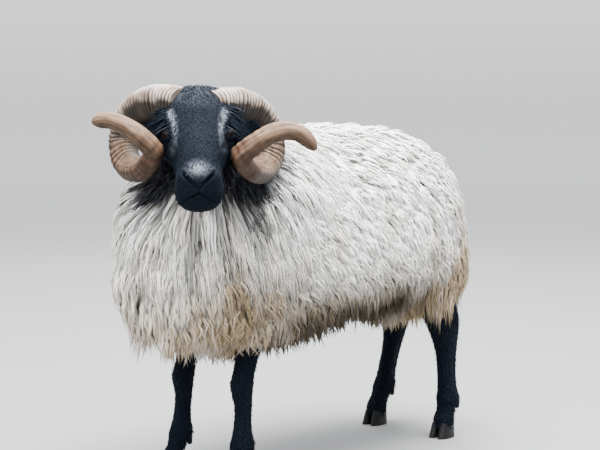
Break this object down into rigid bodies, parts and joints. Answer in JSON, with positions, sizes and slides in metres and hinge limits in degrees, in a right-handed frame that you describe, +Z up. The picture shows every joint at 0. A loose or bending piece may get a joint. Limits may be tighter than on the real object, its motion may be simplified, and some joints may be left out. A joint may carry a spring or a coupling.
{
  "type": "horned blackface ram sheep",
  "caption": "Still life-size ram of a black-faced hill sheep, standing square with its head turned to its left, long creamy fleece, black face and legs, coiled ridged horns",
  "frame": {"origin": "on the ground, in the middle of the part's box seen from above", "axes": "the animal faces -Y, its left side is +X, +Z is up"},
  "size_m": [0.5848, 1.2068, 0.8717],
  "materials": {
    "fleece": "long coarse creamy wool in hanging locks, whitest on the back, tan and brown at the hem",
    "black_hide": "short black hair with a blue-grey sheen, pale beside the eyes and on the nose",
    "horn": "ridged tan horn, red-brown in the grooves and on the front of the coil, smoother at the tip",
    "hoof": "dark grey horn of the claws, paler at the toes",
    "eye": "wet dark brown eye with a level slit pupil"
  },
  "bodies": {
    "root": {"head": "black_hide", "ear_left": "black_hide", "ear_right": "black_hide", "eye_left": "eye", "eye_right": "eye", "horn_left": "horn", "horn_right": "horn", "neck": "fleece", "trunk": "fleece", "tail": "fleece", "leg_fore_right": "black_hide", "leg_fore_left": "black_hide", "leg_hind_right": "black_hide", "leg_hind_left": "black_hide", "claw_fore_right_left": "hoof", "dewclaw_fore_right_left": "hoof", "claw_fore_right_right": "hoof", "dewclaw_fore_right_right": "hoof", "claw_fore_left_left": "hoof", "dewclaw_fore_left_left": "hoof", "claw_fore_left_right": "hoof", "dewclaw_fore_left_right": "hoof", "claw_hind_right_left": "hoof", "dewclaw_hind_right_left": "hoof", "claw_hind_right_right": "hoof", "dewclaw_hind_right_right": "hoof", "claw_hind_left_left": "hoof", "dewclaw_hind_left_left": "hoof", "claw_hind_left_right": "hoof", "dewclaw_hind_left_right": "hoof"}
  },
  "joints": []
}
